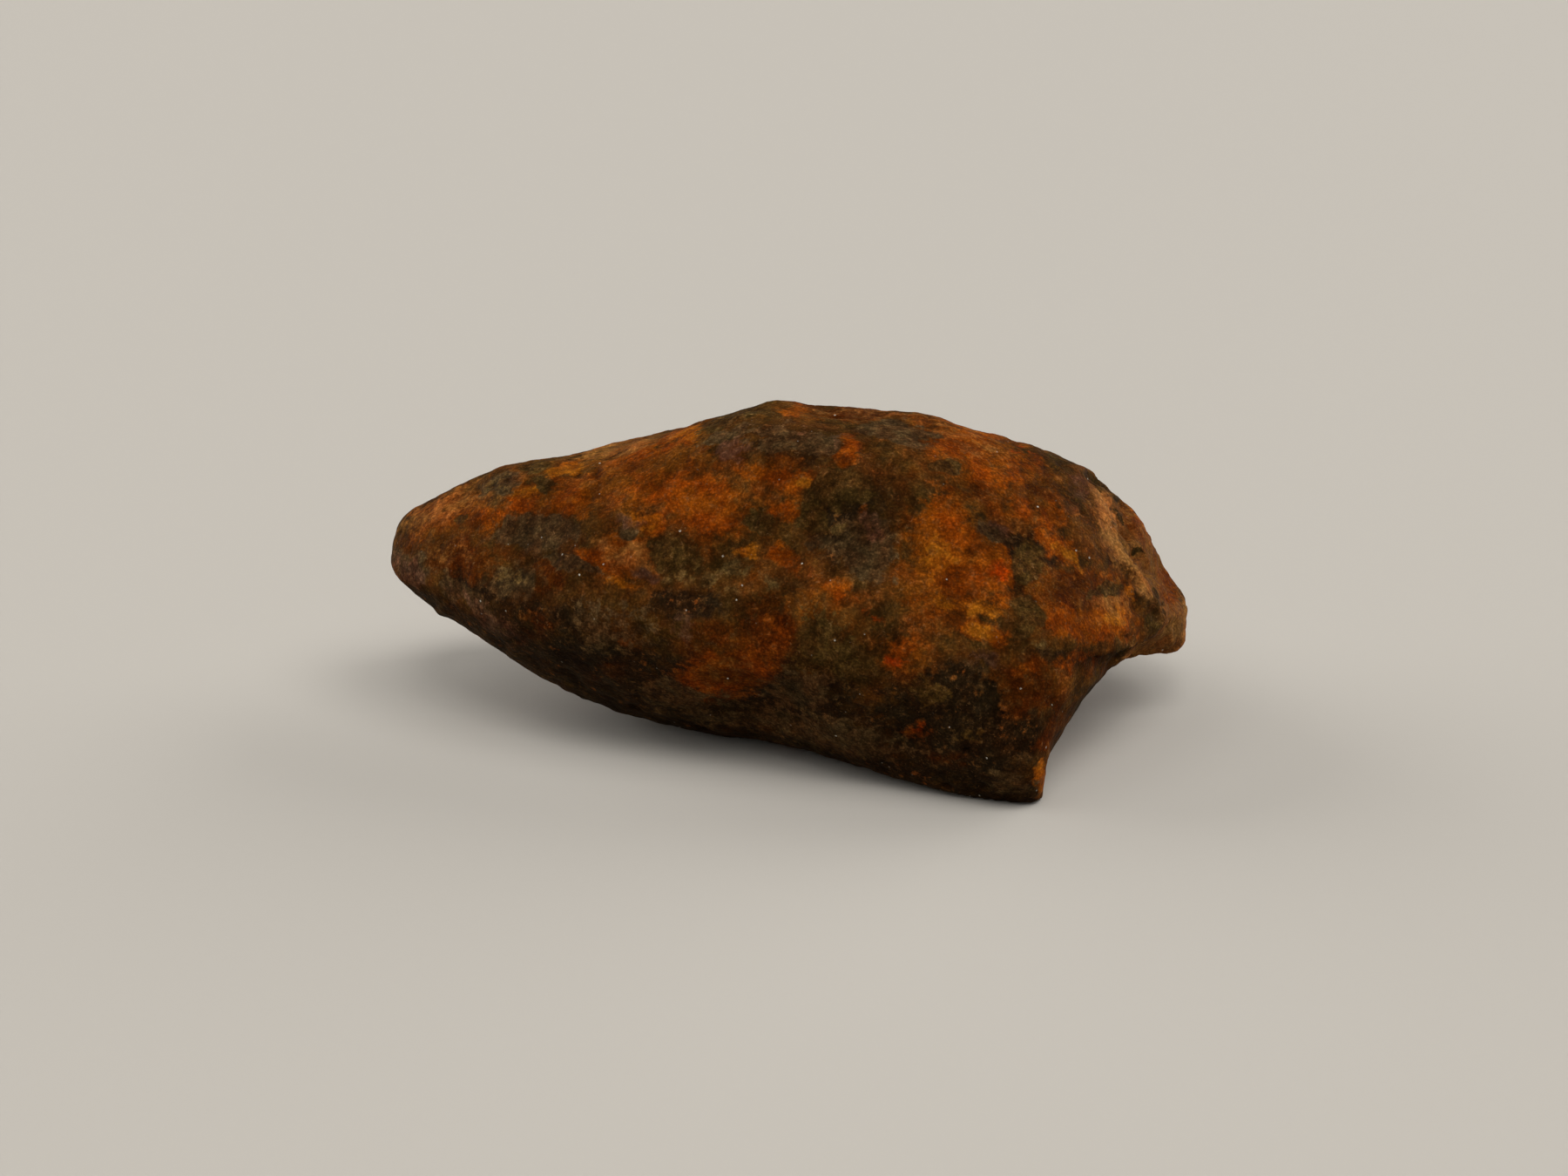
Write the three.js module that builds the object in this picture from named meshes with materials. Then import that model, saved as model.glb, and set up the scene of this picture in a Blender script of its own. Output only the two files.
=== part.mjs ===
// Iron meteorite: one rusted natural mass with a blunt nose on the left, a long crested back, a full
// belly that overhangs a narrower underside, and a rough broken end whose lower corner juts out as a
// spur above a notch. It stands on a small flat spot worn on the underside and on the toe under the
// belly, which lies in the same plane.
//
// Millimetres, +Z up, +X from the nose to the broken end, -Y towards the full belly. The origin is on
// the resting plane, under the middle of the mass.
import * as THREE from 'three';

// ---------------------------------------------------------------- driving dimensions

const RINGS = 61;                 // rings of vertices between the nose tip and the end centre
const AROUND = 64;                // vertices in each ring
const REST_HEIGHT = 0;            // height of the plane that the mass stands on
const UNEVENNESS = 0.32;          // how far the weathered skin wanders in and out
const UNEVENNESS_SCALE = 8.5;     // distance over which it wanders
const FINE_SHARE = 0.5;           // share of a finer wander, over half that distance
const CRUMBLE = 0.4;              // extra roughness of the broken end
const CRUMBLE_SCALE = 3.4;
const CRUMBLE_FROM = 36;          // the broken end's roughness starts here and is full at CRUMBLE_FULL
const CRUMBLE_FULL = 42;

// The form is a net of eight rails that run from the nose tip to the centre of the broken end. Each
// rail has a point at every station, [x, y, z], and the skin is spun smoothly through all of them.
//   stations: nose rim, snout, neck, fore body, middle, hind body, toe, hip, notch, end rim, end face
const NOSE_TIP = [-48.9, 10.4, 18.6];
const END_CENTRE = [50.2, 6.6, 13.4];

const RAILS = {
  crest: [
    [-46.8, 10.5, 22.7], [-38.5, 9.5, 28.3], [-26.5, 8.0, 31.4], [-13.5, 8.0, 34.7], [-0.5, 6.5, 39.1],
    [13.0, 6.5, 37.9], [24.0, 7.0, 35.4], [31.5, 8.0, 32.7], [36.8, 9.2, 29.9], [40.0, 10.0, 26.8],
    [45.4, 9.4, 21.4],
  ],
  shoulder: [
    [-46.9, 6.4, 21.5], [-39.0, 2.6, 26.2], [-26.5, -1.5, 30.6], [-13.5, -3.5, 34.3], [-0.5, -4.8, 38.6],
    [13.0, -5.2, 37.9], [24.0, -4.4, 35.2], [31.0, -2.4, 32.8], [37.0, 1.2, 30.4], [39.6, -0.8, 25.4],
    [43.6, 3.2, 22.0],
  ],
  belly: [
    [-47.5, 5.0, 18.2], [-38.5, -3.6, 17.8], [-26.5, -11.8, 18.2], [-13.5, -17.0, 20.0], [-0.5, -20.5, 20.8],
    [13.0, -23.8, 19.8], [25.0, -24.4, 18.8], [33.0, -20.4, 17.6], [39.8, -12.8, 15.6], [45.2, -5.6, 16.6],
    [47.8, -0.6, 14.6],
  ],
  keel: [
    [-46.8, 7.2, 16.2], [-38.0, 1.0, 11.8], [-26.5, -2.8, 5.0], [-13.5, -5.0, 1.6], [-0.5, -10.2, 2.0],
    [13.0, -18.2, 1.2], [28.8, -22.8, -0.8], [30.6, -17.2, 3.0], [35.6, -8.8, 7.8], [40.3, -3.8, 10.2],
    [48.6, 1.6, 9.1],
  ],
  sole: [
    [-46.9, 9.8, 15.2], [-38.0, 6.0, 10.6], [-26.0, 3.4, 4.0], [-13.0, 1.0, 0.5], [0.0, -0.5, -0.4],
    [12.0, -3.5, 0.6], [26.5, -7.0, 1.2], [30.8, -5.0, 4.4], [35.6, 0.0, 7.4], [42.2, 3.0, 8.5],
    [49.8, 5.0, 8.6],
  ],
  heel: [
    [-46.9, 12.4, 15.6], [-37.5, 11.0, 11.6], [-26.0, 9.0, 5.2], [-13.0, 7.5, 1.6], [0.0, 8.5, 0.2],
    [12.0, 9.0, 0.2], [25.0, 7.0, 2.2], [30.0, 8.0, 3.0], [35.0, 8.5, 6.6], [42.6, 9.0, 8.0],
    [50.4, 8.6, 8.4],
  ],
  flank: [
    [-46.7, 15.8, 18.2], [-38.0, 19.4, 18.6], [-26.0, 22.6, 17.8], [-13.0, 24.0, 16.4], [0.0, 24.0, 15.6],
    [12.5, 24.0, 15.2], [23.0, 23.6, 15.0], [30.5, 22.6, 14.6], [37.0, 20.6, 14.2], [43.6, 17.8, 13.4],
    [49.2, 13.2, 12.4],
  ],
  loin: [
    [-46.5, 14.4, 21.4], [-38.5, 16.2, 25.6], [-26.5, 17.2, 28.4], [-13.0, 18.0, 30.6], [0.0, 17.6, 32.2],
    [13.0, 17.8, 31.4], [24.0, 18.0, 29.6], [31.0, 17.8, 27.4], [37.0, 17.0, 25.0], [42.0, 15.4, 22.2],
    [46.4, 12.6, 18.2],
  ],
};

// Flat faces weathered across the roundness: skin that stands beyond the plane through the given point
// is brought back towards it, and keep is the share of its height that stays.
const FACES = [
  { through: [10.0, -14.5, 31.5], facing: [0.05, -0.78, 0.62], keep: 0.35 },
  { through: [-22.0, -9.0, 27.0], facing: [-0.22, -0.74, 0.63], keep: 0.35 },
  { through: [30.0, -15.5, 27.5], facing: [0.5, -0.66, 0.56], keep: 0.35 },
  { through: [5.0, 1.0, 38.2], facing: [0.06, -0.02, 1.0], keep: 0.3 },
  { through: [28.0, -23.4, 0.2], facing: [-0.24, -0.87, -0.43], keep: 0.35 },
  { through: [-24.0, -7.5, 9.5], facing: [-0.38, -0.62, -0.69], keep: 0.35 },
  { through: [12.0, 17.0, 32.0], facing: [0.1, 0.62, 0.78], keep: 0.25 },
  { through: [-24.0, 19.0, 25.5], facing: [-0.3, 0.66, 0.69], keep: 0.25 },
  { through: [20.0, 22.5, 12.0], facing: [0.22, 0.95, -0.2], keep: 0.25 },
  { through: [-10.0, 21.0, 10.0], facing: [-0.12, 0.8, -0.58], keep: 0.25 },
  { through: [43.6, 6.0, 22.6], facing: [0.83, -0.12, 0.54], keep: 0.1 },
  { through: [49.6, 6.0, 12.0], facing: [0.96, -0.24, 0.12], keep: 0.1 },
];

// Broad hollows, saddles and lumps. Each pushes the skin along its normal by rise (negative is a
// hollow), fading out at its reach, which is measured as [along, across, up].
const RELIEF = [
  // nose: a low bump, the saddle behind it, a dimple, two scars beside the saddle, a lump underneath
  { at: [-31.5, 4.0, 30.5], reach: [8.0, 10.0, 7.0], rise: 0.5 },
  { at: [-22.5, 5.0, 32.5], reach: [7.0, 10.0, 6.0], rise: -0.6 },
  { at: [-37.5, 5.5, 28.3], reach: [5.0, 5.0, 4.5], rise: -0.9 },
  { at: [-21.3, -4.3, 31.3], reach: [5.0, 3.5, 3.5], rise: -0.8 },
  { at: [-25.0, -0.5, 31.8], reach: [4.0, 3.0, 3.5], rise: -0.5 },
  { at: [-42.2, 3.4, 13.0], reach: [3.0, 4.0, 3.0], rise: 0.5 },
  // crest: the step below its front edge, and the knobs and dips along its top
  { at: [-8.0, -8.5, 33.8], reach: [10.0, 5.0, 5.0], rise: -0.7 },
  { at: [-1.5, 6.0, 39.2], reach: [3.5, 5.0, 3.5], rise: 0.35 },
  { at: [-4.2, 5.5, 38.0], reach: [3.2, 5.0, 3.0], rise: -0.4 },
  { at: [5.0, 5.0, 39.0], reach: [4.0, 6.0, 3.0], rise: -0.6 },
  { at: [14.6, 3.0, 37.9], reach: [3.0, 5.0, 3.0], rise: 0.25 },
  { at: [17.8, 3.0, 37.4], reach: [2.8, 5.0, 3.0], rise: 0.4 },
  { at: [24.0, 7.0, 35.6], reach: [5.0, 6.0, 4.0], rise: -0.6 },
  // belly side: shallow hollows with swellings between them
  { at: [0.0, -14.7, 29.1], reach: [10.0, 8.0, 8.0], rise: -0.9 },
  { at: [14.0, -21.5, 23.0], reach: [12.0, 9.0, 8.0], rise: 0.6 },
  { at: [29.0, -14.5, 28.0], reach: [9.0, 8.0, 8.0], rise: -0.7 },
  { at: [-30.0, -5.5, 25.0], reach: [9.0, 7.0, 7.0], rise: -0.7 },
  { at: [-3.0, -15.5, 9.0], reach: [10.0, 8.0, 6.0], rise: -0.9 },
  { at: [14.0, -22.5, 9.5], reach: [9.0, 7.0, 6.0], rise: -0.8 },
  { at: [25.5, -23.5, 8.0], reach: [7.0, 6.0, 7.0], rise: 0.5 },
  // broken end: the hollow under its top edge, the row of pits down its front, the worn face, and the
  // full underside of the spur
  { at: [37.8, 3.2, 29.6], reach: [4.0, 3.5, 3.0], rise: -1.1 },
  { at: [40.2, 2.6, 26.4], reach: [2.6, 3.0, 2.6], rise: -0.8 },
  { at: [42.2, 1.4, 24.0], reach: [2.6, 3.0, 2.6], rise: -0.9 },
  { at: [44.2, 0.4, 21.2], reach: [2.6, 3.0, 2.6], rise: -0.8 },
  { at: [47.0, 6.0, 16.5], reach: [5.0, 5.0, 5.0], rise: -0.7 },
  { at: [43.6, -2.2, 9.6], reach: [3.6, 4.0, 3.0], rise: 0.8 },
  { at: [43.5, 14.5, 20.0], reach: [5.0, 5.0, 5.0], rise: -0.8 },
  // far side: thumbprint hollows left by the fall through the air
  { at: [-38.0, 17.5, 22.5], reach: [7.0, 6.0, 6.0], rise: -1.0 },
  { at: [-24.0, 21.0, 22.5], reach: [8.5, 7.0, 7.0], rise: -1.5 },
  { at: [-7.0, 22.0, 24.0], reach: [8.5, 7.0, 7.0], rise: -1.6 },
  { at: [10.0, 21.5, 25.5], reach: [8.0, 7.0, 6.5], rise: -1.4 },
  { at: [25.0, 21.5, 21.0], reach: [8.0, 7.0, 7.0], rise: -1.5 },
  { at: [8.0, 24.0, 13.5], reach: [8.0, 6.0, 6.0], rise: -1.2 },
  { at: [-12.0, 22.5, 12.0], reach: [7.5, 6.0, 6.0], rise: -1.2 },
  { at: [35.0, 18.5, 19.0], reach: [6.5, 6.0, 6.0], rise: -1.1 },
  { at: [-27.0, 16.0, 9.5], reach: [8.0, 7.0, 6.0], rise: -1.1 },
  // underside: the hollow that parts the toe from the resting patch, and one under the neck
  { at: [15.0, -6.0, 0.5], reach: [10.0, 8.0, 5.0], rise: -1.0 },
  { at: [-29.0, 3.5, 6.0], reach: [8.0, 8.0, 6.0], rise: -1.0 },
];

// ---------------------------------------------------------------- form

function railCurve(points) {
  const path = [NOSE_TIP, ...points, END_CENTRE].map((p) => new THREE.Vector3(...p));
  return new THREE.CatmullRomCurve3(path, false, 'centripetal');
}

function ringPoints(rails, t) {
  const section = new THREE.CatmullRomCurve3(rails.map((rail) => rail.getPoint(t)), true, 'centripetal');
  return section.getSpacedPoints(AROUND).slice(0, AROUND);
}

// Closed skin: a fan at the nose tip, quads between the rings, and a fan at the end centre.
function netGeometry() {
  const rails = Object.values(RAILS).map(railCurve);
  const spacing = railCurve(RAILS.belly);
  const points = [new THREE.Vector3(...NOSE_TIP)];
  for (let ring = 1; ring <= RINGS; ring += 1) {
    points.push(...ringPoints(rails, spacing.getUtoTmapping(ring / (RINGS + 1))));
  }
  points.push(new THREE.Vector3(...END_CENTRE));

  const faces = [];
  const at = (ring, step) => 1 + ring * AROUND + (step % AROUND);
  const last = points.length - 1;
  for (let step = 0; step < AROUND; step += 1) {
    faces.push(0, at(0, step + 1), at(0, step));
    faces.push(last, at(RINGS - 1, step), at(RINGS - 1, step + 1));
    for (let ring = 0; ring < RINGS - 1; ring += 1) {
      const [a, b] = [at(ring, step), at(ring, step + 1)];
      const [c, d] = [at(ring + 1, step + 1), at(ring + 1, step)];
      faces.push(a, b, c, a, c, d);
    }
  }
  const geometry = new THREE.BufferGeometry().setFromPoints(points);
  geometry.setIndex(faces);
  geometry.computeVertexNormals();
  return geometry;
}

// ---------------------------------------------------------------- weathered skin

// Smooth pseudo-random value between -1 and 1, the same for the same place.
function cornerValue(ix, iy, iz) {
  const mixed = Math.sin(ix * 127.1 + iy * 311.7 + iz * 74.7) * 43758.5453;
  return 2 * (mixed - Math.floor(mixed)) - 1;
}

function wander(p, scale) {
  const [x, y, z] = [p.x / scale, p.y / scale, p.z / scale];
  const [ix, iy, iz] = [Math.floor(x), Math.floor(y), Math.floor(z)];
  const ease = (s) => s * s * (3 - 2 * s);
  const [fx, fy, fz] = [ease(x - ix), ease(y - iy), ease(z - iz)];
  const along = (jy, jz) => THREE.MathUtils.lerp(
    cornerValue(ix, iy + jy, iz + jz), cornerValue(ix + 1, iy + jy, iz + jz), fx);
  const across = (jz) => THREE.MathUtils.lerp(along(0, jz), along(1, jz), fy);
  return THREE.MathUtils.lerp(across(0), across(1), fz);
}

function reliefAt(p) {
  let rise = 0;
  for (const { at, reach, rise: height } of RELIEF) {
    const far = Math.hypot((p.x - at[0]) / reach[0], (p.y - at[1]) / reach[1], (p.z - at[2]) / reach[2]);
    if (far < 1) rise += height * (1 - far * far) ** 2;
  }
  return rise;
}

const facePlanes = FACES.map(({ through, facing, keep }) => {
  const normal = new THREE.Vector3(...facing).normalize();
  const plane = new THREE.Plane().setFromNormalAndCoplanarPoint(normal, new THREE.Vector3(...through));
  return { plane, keep };
});

function flatten(p) {
  for (const { plane, keep } of facePlanes) {
    const proud = plane.distanceToPoint(p);
    if (proud > 0) p.addScaledVector(plane.normal, -proud * (1 - keep));
  }
}

function weather(geometry) {
  const position = geometry.attributes.position;
  const normal = geometry.attributes.normal;
  const [p, n] = [new THREE.Vector3(), new THREE.Vector3()];
  for (let i = 0; i < position.count; i += 1) {
    p.fromBufferAttribute(position, i);
    n.fromBufferAttribute(normal, i);
    flatten(p);
    const rough = wander(p, UNEVENNESS_SCALE) + FINE_SHARE * wander(p, UNEVENNESS_SCALE / 2);
    const broken = THREE.MathUtils.smoothstep(p.x, CRUMBLE_FROM, CRUMBLE_FULL);
    const crumbs = CRUMBLE * broken * wander(p, CRUMBLE_SCALE);
    p.addScaledVector(n, reliefAt(p) + UNEVENNESS * rough + crumbs);
    p.z = Math.max(p.z, REST_HEIGHT);
    position.setXYZ(i, p.x, p.y, p.z);
  }
}

// ---------------------------------------------------------------- assembly

const geometry = netGeometry();
weather(geometry);
geometry.computeBoundingBox();
const middle = geometry.boundingBox.getCenter(new THREE.Vector3());
geometry.translate(-middle.x, -middle.y, -REST_HEIGHT);
geometry.computeVertexNormals();

const rust = new THREE.MeshStandardMaterial({ color: 0x5a3216, roughness: 0.78, metalness: 0.15 });
const meteorite = new THREE.Mesh(geometry, rust);
meteorite.name = 'meteorite';

const part = new THREE.Group();
part.add(meteorite);

export default part;
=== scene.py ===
"""An iron meteorite, rusted all over, lying on a pale sheet.

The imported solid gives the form. This script refines its skin into weathered rust, paints the mottled
patches with masks and a node material, and sets the stage, the lights and the camera.
"""

import math

import bmesh
import bpy
import numpy as np
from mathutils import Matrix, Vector


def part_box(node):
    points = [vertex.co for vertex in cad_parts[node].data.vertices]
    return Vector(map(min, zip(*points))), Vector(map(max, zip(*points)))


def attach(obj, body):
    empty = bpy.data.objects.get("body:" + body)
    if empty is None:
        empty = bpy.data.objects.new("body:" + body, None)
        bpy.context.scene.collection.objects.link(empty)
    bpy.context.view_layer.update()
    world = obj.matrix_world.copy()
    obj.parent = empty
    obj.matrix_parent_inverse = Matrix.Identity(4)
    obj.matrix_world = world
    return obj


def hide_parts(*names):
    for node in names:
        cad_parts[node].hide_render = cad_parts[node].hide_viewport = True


MM = 0.001

# ---------------------------------------------------------------- camera, in millimetres and degrees

FRAME_WIDTH = 1800
FRAME_HEIGHT = 1350
CAMERA_AIM = (-0.65, 1.14, 17.7)
CAMERA_DISTANCE = 290.0
CAMERA_ELEVATION = 21.0
CAMERA_WIDTH_ANGLE = 36.0
CAMERA_NEAREST = 10.0
CAMERA_FARTHEST = 20000.0
FOCAL_PIXELS = FRAME_WIDTH / 2 / math.tan(math.radians(CAMERA_WIDTH_ANGLE / 2))
MM_PER_PIXEL = CAMERA_DISTANCE / FOCAL_PIXELS

# ---------------------------------------------------------------- stage and light

# Colours are linear: red, green, blue. The floor's half width is in millimetres.
FLOOR_COLOUR = (0.49, 0.46, 0.416)
FLOOR_ROUGHNESS = 1.0
FLOOR_SPECULAR = 0.1
FLOOR_HALF = 8000.0
LAMP_COLOUR = (1.0, 0.99, 0.97)
ROOM_LIGHT = 0.03

# Each far lamp: compass angle from +X and height in degrees, strength, softness in degrees.
LAMPS = {
    "window": (-90.0, 32.0, 0.3, 45.0),
    "lamp_front": (-90.0, 65.0, 0.88, 25.0),
    "lamp_right": (-34.0, 56.0, 1.14, 32.0),
    "lamp_left": (205.0, 55.0, 0.45, 32.0),
    "wall_right": (30.0, 19.0, 1.93, 55.0),
    "wall_left": (157.0, 19.0, 1.98, 55.0),
}

# ---------------------------------------------------------------- skin, in millimetres

WELD_DISTANCE = 0.001
ROUNDING_LEVELS = 2
SKIN_STEP = 0.41
SMOOTHING_ROUNDS = 6

# How far the skin may pass the solid's box.
SKIN_MARGIN = 0.35

# The broken end's roughness starts at the first place along the length, and is full at the second.
BROKEN_END_FROM = 35.0
BROKEN_END_FULL = 41.0
BROKEN_ROUGHNESS = 0.4

# Rust stands in crusts, knots, clumps and grains: distance between them, and how far each rises. The
# hollows between them go down by a share of that.
SKIN_LAYERS = {
    "crust": (6.0, 0.2),
    "knots": (2.6, 0.165),
    "clumps": (1.25, 0.105),
    "grains": (0.72, 0.05),
}
LAYER_SEED = 20
HOLLOW_SHARE = 0.7

# Scattered pits: how many, their sizes, how much lower than wide they may be, and how likely one is
# on the plain skin and, on top of that, on the broken end. Higher roundness makes a pit narrower at
# the bottom and softer at the rim.
PIT_SEED = 11
PIT_COUNT = 230
PIT_RADIUS = (0.5, 1.5)
PIT_DEPTH = (0.12, 0.4)
PIT_SQUASH = (1.0, 1.8)
PIT_CHANCE = (0.25, 3.0)
PIT_ROUNDNESS = 1.5

# The resting flats: the heights between which they fade out, how squarely the skin faces down there,
# and the share of the fade from which on the skin lies right on the floor.
REST_FADE = (0.9, 0.15)
REST_FACING = -0.6
REST_SHARE = 0.98

# How squarely the skin faces the camera where marks and patches start to show, and show in full.
FACING_EDGE = (-0.05, 0.12)

# The ridge where the belly side breaks off into the end face, as pixels of the frame, top to bottom.
# A lip stands along it and a groove runs behind it. The groove's reach says how far from the ridge it
# starts, is full, fades and is gone.
RIDGE = (
    (1243, 536), (1258, 553), (1273, 570), (1280, 591), (1282, 613), (1289, 633), (1299, 648),
    (1313, 664), (1326, 679), (1336, 697), (1334, 713), (1324, 728), (1300, 741), (1276, 750),
)
LIP_HEIGHT = 0.28
LIP_REACH = 0.9
GROOVE_DEPTH = 0.75
GROOVE_REACH = (-0.1, 0.55, 1.3, 3.6)

# Small pits and knobs that the camera sees: pixel, radius, and height (a pit's is below zero).
MARKS = {
    "saddle_pit": ((675, 569), 0.9, -0.5),
    "saddle_dent": ((685, 544), 0.9, -0.35),
    "neck_dent": ((640, 586), 1.1, -0.3),
    "wrinkle_left": ((550, 563), 0.8, -0.3),
    "wrinkle_middle": ((566, 556), 0.8, -0.3),
    "wrinkle_right": ((583, 549), 0.8, -0.3),
    "snout_dent": ((604, 541), 0.9, -0.25),
    "crown_pit": ((992, 514), 1.0, -0.5),
    "crown_dent": ((1004, 508), 0.8, -0.3),
    "end_pit_top": ((1279, 584), 0.9, -0.5),
    "end_pit_upper": ((1297, 610), 1.0, -0.6),
    "end_pit_middle": ((1309, 634), 1.0, -0.6),
    "end_pit_lower": ((1322, 652), 0.9, -0.5),
    "end_hollow": ((1257, 547), 1.8, -0.6),
    "end_knob": ((1302, 622), 0.8, 0.3),
    "front_knob": ((885, 463), 1.1, 0.2),
    "top_knob": ((1052, 482), 1.3, 0.25),
    "keel_knob_nose": ((508, 703), 1.4, 0.25),
    "keel_knob_left": ((590, 749), 1.3, 0.25),
    "keel_knob_right": ((652, 790), 1.3, 0.25),
    "belly_dent": ((868, 700), 1.6, -0.35),
    "belly_scar": ((1010, 705), 1.4, -0.35),
    "side_dent": ((1168, 672), 1.6, -0.35),
}

# ---------------------------------------------------------------- colour patches

# A patch's edge wanders in wide bends and frays in small ones: how far, the size of the bends, both in
# millimetres, the seeds across and down, and the noise's number of layers and how fast they fade.
PATCH_WANDER = 1.5
PATCH_BENDS = 5.0
BEND_SEEDS = (40, 50)
BEND_LAYERS = (3, 0.6)
PATCH_FRAY = 0.75
PATCH_FRAYS = 1.7
FRAY_SEEDS = (44, 54)
FRAY_LAYERS = (2, 0.7)

# A patch fades out between these shares of its half width and half height.
PATCH_FADE = (1.6, 0.4)

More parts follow.
